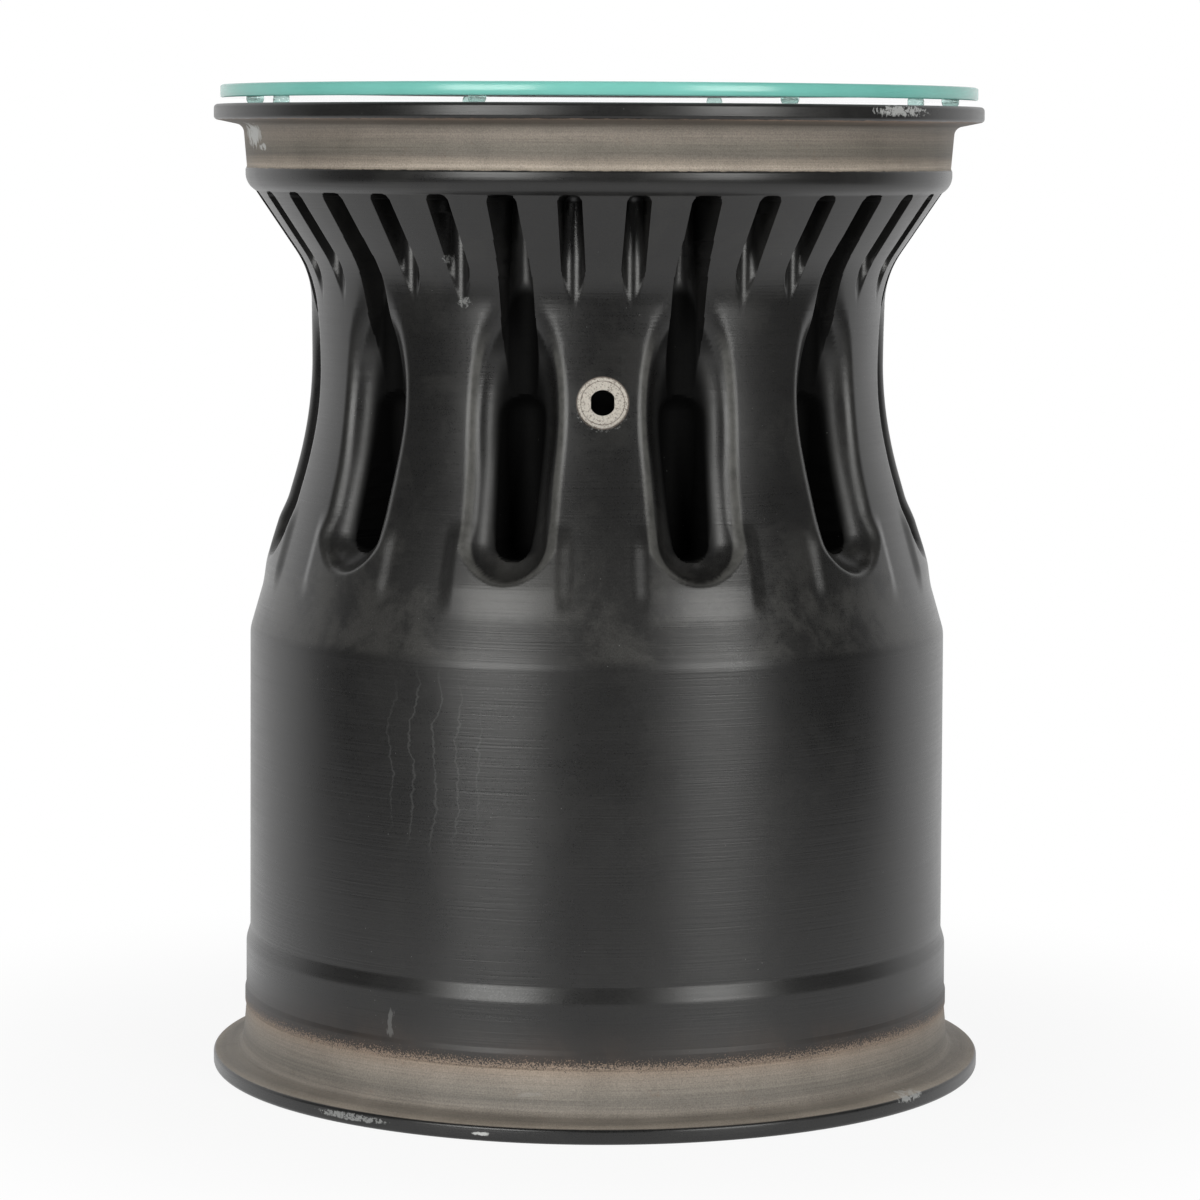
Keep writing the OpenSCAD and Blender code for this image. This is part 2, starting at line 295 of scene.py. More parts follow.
pocket = {
    "radius": 21.3,
    "path": ((156.3, 260.2, 0), (138.8, 321, 60), (157.5, 361.5, 0)),
    "slotAxisX": 120.5,
    "slotR": (8.0, 9.2),  # at the bottom and from the middle up
    "slotWidens": (250, 292),
    "slotZ": (255.2, 309.5),
    "slotEdge": (0.8, 2.6),  # crisp at the bottom, softer up the sides
    "slotSoftens": (252, 264),
    "edge": (1.5, 4),  # round at the foot, and up the sides
    "edgeWidens": (240, 254),
    "edgeLightFromZ": (236, 243),
    "edgeLightToZ": (332, 352),
    "edgeLightTurn": (2, 14, 50, 64),  # degrees over the round, where the painted highlight starts, is full, wanes and ends
    "wall": 4.2,
    "ribR": 11.2,  # of the metal behind the long groove
    "backFillet": 6,
    "padRise": 1.6,
    "padHalfArc": 10.1,
    "padSoft": 1.5,  # degrees each way
    "padZ": (223, 238, 253, 266),
    # the flat behind a pocket, where a spoke ends
    "seatX": 106,
    "seatHalf": 10,
    "seatZ": (268, 352),
    "seatTaper": 0.06,
    "seatRound": 2,
    "seatFillet": 8,
}
grooves = {
    "top": 407.5,
    "topRound": 3.6,
    "longAxisX": 127,
    "longR": (7.7, 6.6),  # low down and at the top
    "longWidens": (362, 396),
    "longEdge": 0.25,
    "shortAxisX": 139.14,
    "shortR": 5.3,
    "shortEdge": 0.22,
    "shortFrom": 345,
}
# Where the painted shade deep in the pockets, a dull black, starts and ends; near a pocket's top it starts at
# once
pocketShade = {
    "fromZ": (242, 252),
    "toZ": (352, 384),
    "topZ": (312, 344),
    "topStarts": (1.2, 4.2),
    "topDepth": 9.2,
}
pitch = 2 * math.pi / rim["pocketCount"]


# A spoke, with its bush, stands midway between two pockets
def spokeAngle(i):
    return (i + 0.5) * pitch - math.pi / 2


def onRing(radius, angle, z=0.0):
    return Vector((radius * mm * math.cos(angle), radius * mm * math.sin(angle), z * mm))


def capsule(x, y, z, a, b, radius):
    dx, dz = b[0] - a[0], b[1] - a[1]
    t = np.clip(((x - a[0]) * dx + (z - a[1]) * dz) / (dx * dx + dz * dz), 0, 1)
    return np.sqrt((x - a[0] - t * dx) ** 2 + y * y + (z - a[1] - t * dz) ** 2) - radius


# Distance to an upright groove with a round floor, open outwards, with a squared top
def groove(x, y, z, axisX, radius):
    across = np.hypot(y, np.maximum(axisX - x, 0)) - radius
    above = z - grooves["top"]
    corner = grooves["topRound"]
    out = np.hypot(np.maximum(across + corner, 0), np.maximum(above + corner, 0)) - corner
    return np.maximum(out, np.maximum(across, above))


# Distance to the slot in a pocket's floor, which has round ends and widens upwards
def deepSlot(x, y, z, grow=0.0):
    low, high = pocket["slotZ"]
    narrow, wide = pocket["slotR"]
    radius = narrow + (wide - narrow) * fade(z, *pocket["slotWidens"]) + grow
    up = np.maximum(z - high, 0)
    down = np.maximum(low - z, 0)
    behind = np.maximum(pocket["slotAxisX"] - x, 0)
    return np.sqrt(y * y + up * up + down * down + behind * behind) - radius


# Solid minus tool, with the edge between them rounded
def roundCut(solid, tool, radius):
    a = np.maximum(solid + radius, 0)
    b = np.maximum(radius - tool, 0)
    return np.minimum(np.maximum(solid, -tool), -radius) + np.sqrt(a * a + b * b)


# Both solids together, with a fillet where they meet
def roundJoin(a, b, radius):
    u = np.maximum(radius - a, 0)
    v = np.maximum(radius - b, 0)
    return np.maximum(np.minimum(a, b), radius) - np.sqrt(u * u + v * v)


def fade(value, low, high):
    t = np.clip((value - low) / (high - low), 0, 1)
    return t * t * (3 - 2 * t)


# Distance to the round hollow, swept along a bent path
def hollow(x, y, z, grow=0.0):
    path = filleted(pocket["path"], chord=0.06)
    parts = [capsule(x, y, z, a, b, pocket["radius"] + grow) for a, b in zip(path, path[1:])]
    return np.minimum.reduce(parts)


def edgeRound(z):
    low, high = pocket["edge"]
    return low + (high - low) * fade(z, *pocket["edgeWidens"])


# Signed distance to the rim's outer skin; the angle is counted from the pocket's middle
def outerSolid(r, angle, z):
    x, y = r * np.cos(angle), r * np.sin(angle)
    away = np.degrees(np.abs(angle))
    soft = pocket["padSoft"]
    arc = 1 - fade(away, pocket["padHalfArc"] - soft, pocket["padHalfArc"] + soft)
    z0, z1, z2, z3 = pocket["padZ"]
    pad = pocket["padRise"] * arc * fade(z, z0, z1) * (1 - fade(z, z2, z3))
    solid = (r - outerR(z) - pad) * lean(outerR, z)
    solid = roundCut(solid, hollow(x, y, z), edgeRound(z))
    crisp, soft = pocket["slotEdge"]
    solid = roundCut(solid, deepSlot(x, y, z), crisp + (soft - crisp) * fade(z, *pocket["slotSoftens"]))
    low, high = grooves["longR"]
    longR = low + (high - low) * fade(z, *grooves["longWidens"])
    bar = np.where(z > pocket["slotZ"][1] + 2, groove(x, y, z, grooves["longAxisX"], longR), 99)
    solid = roundCut(solid, bar, grooves["longEdge"])
    for side in (-1, 1):
        a = side * pitch / 3
        xs, ys = x * math.cos(a) + y * math.sin(a), y * math.cos(a) - x * math.sin(a)
        short = groove(xs, ys, z, grooves["shortAxisX"], grooves["shortR"])
        solid = roundCut(solid, np.where(z > grooves["shortFrom"], short, 99), grooves["shortEdge"])
    return solid


# 1 on the rounded edge of a pocket, where a highlight is painted on the black, and 0 off it
def edgeHighlight(r, angle, z):
    x, y = r * np.cos(angle), r * np.sin(angle)
    size = edgeRound(z)
    a = np.maximum((r - outerR(z)) * lean(outerR, z) + size, 0)
    b = np.maximum(size - hollow(x, y, z), 0)
    turned = np.degrees(np.arctan2(b, np.maximum(a, 1e-6)))
    starts, full, wanes, ends = pocket["edgeLightTurn"]
    along = fade(z, *pocket["edgeLightFromZ"]) * (1 - fade(z, *pocket["edgeLightToZ"]))
    return fade(turned, starts, full) * (1 - fade(turned, wanes, ends)) * (a > 0.02) * along


# Signed distance to the rim's inner skin, with the metal behind each pocket
def innerSolid(r, angle, z):
    x, y = r * np.cos(angle), r * np.sin(angle)
    wall = (innerR(z) - r) * lean(innerR, z)
    back = hollow(x, y, z, pocket["wall"])
    up = np.maximum(z - (grooves["top"] - 7), 0)
    down = np.maximum(pocket["slotZ"][1] - z, 0)
    behind = np.maximum(grooves["longAxisX"] - x, 0)
    rib = np.sqrt(y * y + up * up + down * down + behind * behind) - pocket["ribR"]
    rib = np.minimum(rib, deepSlot(x, y, z, pocket["wall"] - 0.4))
    low, high = pocket["seatZ"]
    corner = pocket["seatRound"]
    seat = np.stack([
        pocket["seatX"] + corner - x,
        np.abs(y) - pocket["seatHalf"] + corner - (x - pocket["seatX"]) * pocket["seatTaper"],
        np.abs(z - (low + high) / 2) - (high - low) / 2 + corner,
    ])
    seat = np.sqrt((np.maximum(seat, 0) ** 2).sum(0)) + np.minimum(seat.max(0), 0) - corner
    solid = roundJoin(back, rib, pocket["backFillet"])
    solid = roundJoin(solid, seat, pocket["seatFillet"])
    return roundJoin(wall, solid, pocket["backFillet"])


# Where a march towards the metal starts, and how far it goes
march = {
    "outside": (3, 44),  # from beyond the skin, inwards
    "inside": (96, 66),  # from the axis, outwards
    "step": 0.2,
    "halvings": 18,
}


# Marches along the radius from the air until the metal, then halves the last step
def firstHit(solid, start, direction, reach, angle, z):
    step = march["step"]
    r = np.full(z.shape, 0.0) + start
    found = np.zeros(z.shape, bool)
    for _ in range(int(reach / step)):
        found |= solid(r, angle, z) < 0
        r = np.where(found, r, r + direction * step)
    a, b = r - direction * step, r.copy()
    for _ in range(march["halvings"]):
        middle = (a + b) / 2
        metal = solid(middle, angle, z) < 0
        b = np.where(metal, middle, b)
        a = np.where(metal, a, middle)
    return (a + b) / 2


# How the upright mesh lines are shared out over half a sector, as (centre, offset): the offset is in
# millimetres along the surface, so lines follow the straight edges of pockets and grooves.
halfLines = 55
linesMove = (336, 354)  # heights between which they pass from the pockets to the grooves
pocketLines = (
    spaced([0, 0, 0, 0, 0, 0, pitch / 2], [6, 10, 4, 16, 9, 10]),
    spaced([0, 6.8, 10.4, 14, 21.5, 31, 0], [6, 10, 4, 16, 9, 10]),
)
grooveLines = (
    spaced([0, 0, 0, pitch / 3, pitch / 3, pitch / 3, pitch / 3, pitch / 2], [4, 10, 4, 9, 12, 9, 7]),
    spaced([0, 5.8, 9.2, -7.4, -4.4, 4.4, 7.4, 0], [4, 10, 4, 9, 12, 9, 7]),
)


# Angles from the pocket's middle of all lines at each height, as (line, height)
def lineAngles(z):
    surface = outerR(z)[None, :]
    sets = [c[:, None] + np.arcsin(o[:, None] / surface) for c, o in (pocketLines, grooveLines)]
    share = fade(z, *linesMove)[None, :]
    return sets[0] * (1 - share) + sets[1] * share


# Moves the vertices of a spun ring to the carved shape of the rim
def carve(obj, outerRows, innerRows):
    steps = 2 * halfLines * rim["pocketCount"]
    mesh = obj.data
    co = np.empty(len(mesh.vertices) * 3)
    mesh.vertices.foreach_get("co", co)
    co = co.reshape(-1, 3)
    turned = np.arctan2(co[:, 0], -co[:, 1])
    line = np.rint(turned / (2 * math.pi / steps)).astype(int) % steps
    sector, inSector = np.divmod(line, 2 * halfLines)
    offset = inSector - halfLines
    side = np.sign(offset)
    radius = np.hypot(co[:, 0], co[:, 1]) / mm
    height = co[:, 2] / mm
    edgeLight = np.zeros(len(radius))
    outerSide = radius > (outerR(height) + innerR(np.minimum(height, rim["ledgeZ"] - 1))) / 2
    for rows, solid, chosen in ((outerRows, outerSolid, outerSide), (innerRows, innerSolid, ~outerSide)):
        angles = lineAngles(rows)
        grid = np.broadcast_to(rows[None, :], angles.shape)
        if solid is outerSolid:
            start, reach = march["outside"]
            reached = firstHit(solid, outerR(grid) + start, -1, reach, angles, grid)
        else:
            start, reach = march["inside"]
            reached = firstHit(solid, start, 1, reach, angles, grid)
        row = np.abs(height[:, None] - rows[None, :]).argmin(1)
        fits = chosen & (np.abs(height - rows[row]) < 0.01)
        index = np.abs(offset)
        angle = side * angles[index, row] + (sector + 0.5) * pitch
        newR = np.where(fits, reached[index, row], radius) * mm
        if solid is outerSolid:
            edgeLight = np.where(fits, edgeHighlight(reached, angles, grid)[index, row], edgeLight)
        co[:, 0] = np.where(chosen, newR * np.sin(angle), co[:, 0])
        co[:, 1] = np.where(chosen, -newR * np.cos(angle), co[:, 1])
    mesh.vertices.foreach_set("co", co.ravel())
    mesh.attributes.new("paleMark", "FLOAT", "POINT").data.foreach_set("value", edgeLight)
    # Depth below the skin, faded by height, for the painted shade deep in the pockets
    shadeDepth = np.where(outerSide, outerR(height) - np.hypot(co[:, 0], co[:, 1]) / mm, 0)
    shadeDepth = np.maximum(shadeDepth, pocketShade["topDepth"] * fade(shadeDepth, *pocketShade["topStarts"]) * fade(height, *pocketShade["topZ"]))
    shadeDepth = shadeDepth * fade(height, *pocketShade["fromZ"]) * (1 - fade(height, *pocketShade["toZ"]))
    mesh.attributes.new("shadeDepth", "FLOAT", "POINT").data.foreach_set("value", shadeDepth)
    mesh.update()
    smooth(obj)


def carvedRing(name, outerRows, innerRows, extra=()):
    outline = [(outerR(z), z) for z in outerRows]
    outline += list(extra)
    outline += [(innerR(z), z) for z in innerRows]
    obj = spun(name, outline, 2 * halfLines * rim["pocketCount"])
    carve(obj, outerRows, innerRows)
    return obj


def plainRing(name, low, high):
    outline = list(between(outside, low, high)) + list(between(inside, low, high))
    return spun(name, outline, rim["plainSteps"])


rimBarrel = plainRing("rimBarrel", 0, rim["barrelEnd"])
rimLip = plainRing("rimLip", rim["flareTop"], rim["height"])
coneRows = spaced(
    [rim["barrelEnd"], 224, 232, 237, 245, 258, 264, rim["coneEnd"]],
    [3, 3, 4, 9, 26, 6, 3],
)
coneBack = spaced([rim["coneEnd"], 262, 246, 236, rim["barrelEnd"]], [2, 6, 4, 4])
rimCone = carvedRing("rimCone", coneRows, coneBack)
waistRows = spaced([rim["coneEnd"], 280, 312, 324, 346, rim["waistEnd"]], [4, 10, 8, 9, 5])
waistBack = spaced([rim["waistEnd"], 345, 325, 318, 312, rim["coneEnd"]], [4, 5, 3, 3, 10])
rimWaist = carvedRing("rimWaist", waistRows, waistBack)
flareRows = spaced(
    [rim["waistEnd"], 358, 372, 388, 398, 402, 406, 408.2, 410.5, rim["flareTop"]],
    [1, 12, 8, 5, 4, 8, 8, 4, 6],
)
flareBack = spaced([411.8, 402, 394, rim["waistEnd"]], [4, 2, 4])
ledge = [(rim["lipBoreR"], rim["flareTop"])]
ledge += [tuple(p) for p in inside if p[1] <= rim["flareTop"] and p[1] > 411.85 and p[0] > 133.5]
rimFlare = carvedRing("rimFlare", flareRows, flareBack, ledge)
rimRings = (rimBarrel, rimLip, rimCone, rimWaist, rimFlare)
print("rim turned and carved")


# Valve hole

valve = {
    "z": 316.8,
    "faceR": 11.6,
    "faceX": 133.0,
    "holeR": 5.7,
    "flatsHalf": 5.15,
    "stepR": 9.6,
    "lipR": (10.7, 11.4),
    "chipsR": (13.4, 12.2),
    "chipsBelow": (316, 309),
}


def cylinder(radius, depth, segments):
    bm = bmesh.new()
    bmesh.ops.create_cone(
        bm, cap_ends=True, segments=segments, radius1=radius * mm, radius2=radius * mm, depth=depth * mm
    )
    return bm


# The spot face's cutter, and the hole's cutter with its two upright flats
def valveTools():
    face = cylinder(valve["faceR"], depth=20, segments=96)
    hole = cylinder(valve["holeR"], depth=40, segments=64)
    for sign in (-1, 1):
        whole = hole.verts[:] + hole.edges[:] + hole.faces[:]
        edge = (sign * valve["flatsHalf"] * mm, 0, 0)
        bmesh.ops.bisect_plane(hole, geom=whole, plane_co=edge, plane_no=(sign, 0, 0), clear_outer=True)
        bmesh.ops.holes_fill(hole, edges=[e for e in hole.edges if e.is_boundary])
    tools = []
    for bm, y in ((face, -(valve["faceX"] + 10) * mm), (hole, -128 * mm)):
        turn = Matrix.Translation((0, y, valve["z"] * mm)) @ Matrix.Rotation(math.radians(90), 4, "X")
        bmesh.ops.transform(bm, matrix=turn, verts=bm.verts)
        bmesh.ops.recalc_face_normals(bm, faces=bm.faces)
        tools.append(finished("tool", bm))
    return tools


for tool in valveTools():
    cut(rimWaist, tool)
print("valve hole cut, waist has", len(rimWaist.data.polygons), "faces")


# Wheel centre

centre = {
    "hubR": 71,
    "hubZ": (284, 334),
    "boreR": 39,
    "ringR": 46,
    "ringZ": 325,
    "coneR": 44.8,  # the nut seat's cone runs from here at the top to the bore
    "coneZ": 327,
    "nutSeatSteps": 165,
    "gap": 0.1,  # round the nut seat and the bushes
    "bushRing": 57,
    "bushR": 8.5,
    "pinR": 6,
    "bushSunk": 0.3,
    "bushProud": 0.2,
    "bushSteps": 44,
    "spokeX": (62, 75, 107),  # hidden in the hub, where it leaves the hub, and at the rim
    "spokeIn": 7,
    "spokeOut": 10.2,
    "spokeZ": (268, 352),
    "spokeBevel": 2.2,
    "steps": 176,
}


def hubOutline():
    low, high = centre["hubZ"]
    return filleted([
        (centre["boreR"], 300, 0),
        (centre["boreR"], low, 1),
        (centre["hubR"] - 6, low, 0.8),
        (centre["hubR"], low + 5, 2),
        (centre["hubR"], high - 4, 3),
        (centre["hubR"] - 3, high, 1),
        (centre["ringR"], high, 0.8),
        (centre["ringR"], centre["ringZ"], 0),
        (centre["boreR"], centre["ringZ"], 0),
        (centre["boreR"], 301, 0),
    ], chord=0.05)


# One spoke as a tapered block with a waist, its long edges bevelled
def addSpoke(bm, angle):
    low, high = centre["spokeZ"]
    hubLow, hubHigh = centre["hubZ"]
    start, foot, end = centre["spokeX"]
    sides = filleted([
        (start, hubLow + 3, 0), (foot, hubLow + 3, 20), (end - 1, low, 4), (end, low, 0),
        (end, high, 0), (end - 1, high, 4), (foot, hubHigh - 3, 30), (start, hubHigh - 3, 0),
    ], chord=0.15)
    verts = [bm.verts.new((r * mm, 0, z * mm)) for r, z in sides]
    face = bm.faces.new(verts)
    made = bmesh.ops.extrude_face_region(bm, geom=[face])
    moved = [v for v in made["geom"] if isinstance(v, bmesh.types.BMVert)]
    for group, sign in ((verts, -1), (moved, 1)):
        for v in group:
            along = np.clip((v.co.x / mm - centre["hubR"]) / (end - 1 - centre["hubR"]), 0, 1.2)
            half = centre["spokeIn"] + (centre["spokeOut"] - centre["spokeIn"]) * along ** 1.5
            v.co.y = sign * half * mm
    block = set(verts + moved)
    long = [e for e in bm.edges if set(e.verts) <= block and len({v.co.y > 0 for v in e.verts}) == 1]
    bmesh.ops.bevel(
        bm, geom=long, offset=centre["spokeBevel"] * mm, affect="EDGES", segments=3, profile=0.5, material=-1,
        clamp_overlap=True
    )
    bmesh.ops.recalc_face_normals(bm, faces=bm.faces)
    bmesh.ops.rotate(bm, verts=bm.verts, cent=(0, 0, 0), matrix=Matrix.Rotation(angle, 3, "Z"))


wheelCentre = spun("wheelCentre", hubOutline(), centre["steps"])
for i in range(rim["pocketCount"]):
    bm = bmesh.new()
    addSpoke(bm, spokeAngle(i))
    cut(wheelCentre, finished("tool", bm), "UNION")
for i in range(rim["pocketCount"]):
    bm = cylinder(centre["bushR"], depth=70, segments=48)
    bmesh.ops.translate(bm, vec=onRing(centre["bushRing"], spokeAngle(i), 309), verts=bm.verts)
    cut(wheelCentre, finished("tool", bm))
print("wheel centre made,", len(wheelCentre.data.polygons), "faces")

bore, seatZ, gap = centre["boreR"], centre["ringZ"], centre["gap"]
hubBottom, hubTop = centre["hubZ"]
outR = centre["ringR"] - gap
nutSeatRing = spun("nutSeatRing", filleted([
    (bore, seatZ + 0.5, 0), (bore, seatZ, 0.3), (outR, seatZ, 0.3), (outR, hubTop - 0.2, 0.5),
    (centre["coneR"], hubTop, 0.5), (bore, centre["coneZ"], 0.4), (bore, centre["coneZ"] - 1, 0),
], chord=0.02), centre["nutSeatSteps"])

bushes = []
pinR, outR = centre["pinR"], centre["bushR"] - gap
low, high = hubBottom + centre["bushSunk"], hubTop + centre["bushProud"]
for i in range(rim["pocketCount"]):
    bush = spun(f"driveBush{i + 1}", filleted([
        (pinR, 310, 0), (pinR, low, 0.8), (outR, low, 0.6),
        (outR, high, 0.6), (pinR, high, 1), (pinR, 311, 0),
    ], chord=0.03), centre["bushSteps"])
    bush.data.transform(Matrix.Translation(onRing(centre["bushRing"], spokeAngle(i))))
    bushes.append(bush)
print("nut seat ring and bushes made")


# Glass top and bumpers

glass = {
    "radius": 176,
    "bottom": 450.3,
    "thickness": 6,
    "arris": 0.8,
    "steps": 506,
    "bumperH": 2.8,
    "bumperR": 4,
    "footR": 2.25,
    "bumperSteps": 44,
    "ring": 169.5,
    "first": -65.9,
    "pitch": 45,
    "slips": (-1, 2, 4, -0.5, 0.5, 0, -2.5, -5),
}

low = glass["bottom"]
high = low + glass["thickness"]
arris = glass["arris"]
glassTop = spun("glassTop", [
    (0, low),
    (glass["radius"] - arris, low),
    (glass["radius"] - 0.25, low + 0.35),
    (glass["radius"], low + arris),
    (glass["radius"], high - arris),
    (glass["radius"] - 0.25, high - 0.35),
    (glass["radius"] - arris, high),
    (0, high),
], glass["steps"], closed=False)
for face in glassTop.data.polygons:
    face.material_index = 1 if face.center.xy.length > (glass["radius"] - 1) * mm else 0


# Half of a clear dome, stuck to the glass and pressed flat on the rim
def bumperOutline():
    r, foot, h = glass["bumperR"], glass["footR"], glass["bumperH"]
    rise = (r * r - foot * foot - h * h) / (2 * h)
    ball = math.hypot(r, rise)
    points = [(0, glass["bottom"])]
    for k in range(13):
        depth = h * k / 12
        points.append((math.sqrt(ball * ball - (depth - rise) ** 2), glass["bottom"] - depth))
    points.append((0, glass["bottom"] - h))
    return points


bumpers = []
for i, slip in enumerate(glass["slips"]):
    angle = math.radians(glass["first"] + i * glass["pitch"] + slip) - math.pi / 2
    bumper = spun(f"bumper{i + 1}", bumperOutline(), glass["bumperSteps"], closed=False)
    bumper.data.transform(Matrix.Translation(onRing(glass["ring"], angle)))
    bumpers.append(bumper)
print("glass top and bumpers made")


# Finishes

# Each input is a value or another node's socket
def feed(tree, node, inputs):
    for key, value in inputs.items():
        if isinstance(value, bpy.types.NodeSocket):
            tree.links.new(value, node.inputs[key])
        else:
            node.inputs[key].default_value = value


def put(tree, kind, inputs=None, **settings):
    node = tree.nodes.new("ShaderNode" + kind)
    for key, value in settings.items():
        setattr(node, key, value)
    feed(tree, node, inputs or {})
    return node


def maths(tree, operation, a, b=0.0, c=0.0, clamp=False):
    return put(tree, "Math", {0: a, 1: b, 2: c}, operation=operation, use_clamp=clamp).outputs[0]


def times(tree, a, b, clamp=False):
    return maths(tree, "MULTIPLY", a, b, clamp=clamp)


def larger(tree, a, b):
    return maths(tree, "MAXIMUM", a, b)


def blendColour(tree, factor, a, b):
    return put(tree, "Mix", {0: factor, 6: a, 7: b}, data_type="RGBA").outputs[2]


def remap(tree, value, low, high, toLow=0.0, toHigh=1.0):
    inputs = {"Value": value, "From Min": low, "From Max": high, "To Min": toLow, "To Max": toHigh}
    return put(tree, "MapRange", inputs, interpolation_type="SMOOTHSTEP").outputs[0]


def noise(tree, point, scale, detail, roughness=0.5, distortion=0.0):
    return put(tree, "TexNoise", {
        "Vector": point, "Scale": scale, "Detail": detail, "Roughness": roughness, "Distortion": distortion,
    }).outputs["Fac"]


def vector(tree, operation, a, b):
    return put(tree, "VectorMath", {0: a, 1: b}, operation=operation).outputs[0]


# Distance of a point from the middle of an ellipsoid, 1 on its surface
def awayFrom(tree, point, middle, reach):
    away = vector(tree, "DIVIDE", vector(tree, "SUBTRACT", point, middle), reach)
    return put(tree, "VectorMath", {0: away}, operation="LENGTH").outputs["Value"]


# How far a value lies from another, whichever way
def apart(tree, value, other):
    return maths(tree, "ABSOLUTE", maths(tree, "SUBTRACT", value, other))


# A value plus a share of how far a pattern lies from its middle
def stirred(tree, value, pattern, share):
    return maths(tree, "MULTIPLY_ADD", maths(tree, "SUBTRACT", pattern, 0.5), share, value)


def scaled(tree, colour, share):
    return put(tree, "VectorMath", {0: colour, "Scale": share}, operation="SCALE").outputs[0]


def bumped(tree, height, strength, reach):
    return put(tree, "Bump", {"Height": height, "Strength": strength, "Distance": reach}).outputs[0]


def grey(value, warm=0.0):
    return (value * (1 + warm), value, value * (1 - warm), 1)


# A node group with named inputs, of numbers or vectors, and one output
def newGroup(name, inputs, output):
    group = bpy.data.node_groups.new(name, "ShaderNodeTree")
    for label, default in inputs.items():
        kind = "Vector" if isinstance(default, tuple) else "Float"
        socket = group.interface.new_socket(label, in_out="INPUT", socket_type="NodeSocket" + kind)
        socket.default_value = default
    group.interface.new_socket(output, in_out="OUTPUT", socket_type="NodeSocketFloat")
    given = group.nodes.new("NodeGroupInput").outputs
    return group, given, group.nodes.new("NodeGroupOutput").inputs[output]


def place(tree, group, inputs):
    return put(tree, "Group", inputs, node_tree=group).outputs


# Fine marks that run round the axis, from the turning tool
def latheLinesGroup():
    group, given, wanted = newGroup("latheLines", {"Vector": (0, 0, 0), "Lines": 900.0, "Run": 4.0}, "Height")
    parts = put(group, "SeparateXYZ", {0: given["Vector"]}).outputs
    x = times(group, parts["X"], given["Run"])
    y = times(group, parts["Y"], given["Run"])
    z = times(group, parts["Z"], given["Lines"])
    stretched = put(group, "CombineXYZ", {0: x, 1: y, 2: z}).outputs[0]
    group.links.new(noise(group, stretched, 1.0, 2.0, 0.65), wanted)
    return group


# Uneven tone of a handled surface: broad clouds with fine grain on them
def mottleGroup():
    group, given, wanted = newGroup("mottle", {
        "Vector": (0, 0, 0), "Cloud Scale": 9.0, "Grain Scale": 700.0, "Grain": 0.35,
    }, "Value")
    cloud = remap(group, noise(group, given["Vector"], given["Cloud Scale"], 5.0, 0.6, 0.4), 0.3, 0.7)
    grain = noise(group, given["Vector"], given["Grain Scale"], 2.0)
    grain = maths(group, "SUBTRACT", grain, 0.5)
    value = maths(group, "MULTIPLY_ADD", grain, given["Grain"], cloud, clamp=True)
    group.links.new(value, wanted)
    return group


# A patch of broken marks inside an ellipsoid, as worn or chipped off by knocks
def scuffGroup():
    group, given, wanted = newGroup("scuff", {
        "Vector": (0, 0, 0), "Centre": (0, 0, 0), "Reach": (0.02, 0.02, 0.01), "Scale": 300.0, "Amount": 0.5,
        "Stretch": (1, 1, 1),
    }, "Mask")
    inside = remap(group, awayFrom(group, given["Vector"], given["Centre"], given["Reach"]), 1.0, 0.3)
    stretched = vector(group, "MULTIPLY", given["Vector"], given["Stretch"])
    broken = noise(group, stretched, given["Scale"], 4.0, 0.7, 0.6)
    level = maths(group, "MULTIPLY_ADD", inside, given["Amount"], broken)
    level = maths(group, "SUBTRACT", level, given["Amount"])
    mask = remap(group, level, 0.42, 0.5)
    mask = times(group, mask, inside, clamp=True)
    group.links.new(mask, wanted)
    return group


latheLines = latheLinesGroup()
mottle = mottleGroup()
scuff = scuffGroup()


def turningMarks(tree, point, lines, run):
    return place(tree, latheLines, {"Vector": point, "Lines": lines, "Run": run})["Height"]


def clouded(tree, point, cloudScale, grainScale, grain):
    return place(tree, mottle, {
        "Vector": point, "Cloud Scale": cloudScale, "Grain Scale": grainScale, "Grain": grain,
    })["Value"]


def scuffed(tree, point, middle, reach, scale, amount, stretch=(1, 1, 1)):
    return place(tree, scuff, {
        "Vector": point, "Centre": middle, "Reach": reach, "Scale": scale, "Amount": amount,
        "Stretch": stretch,
    })["Mask"]


def newMaterial(name):
    material = bpy.data.materials.new(name)
    material.use_nodes = True
    tree = material.node_tree
    shader = tree.nodes["Principled BSDF"]
    point = put(tree, "TexCoord").outputs["Object"]
    return material, tree, shader, point


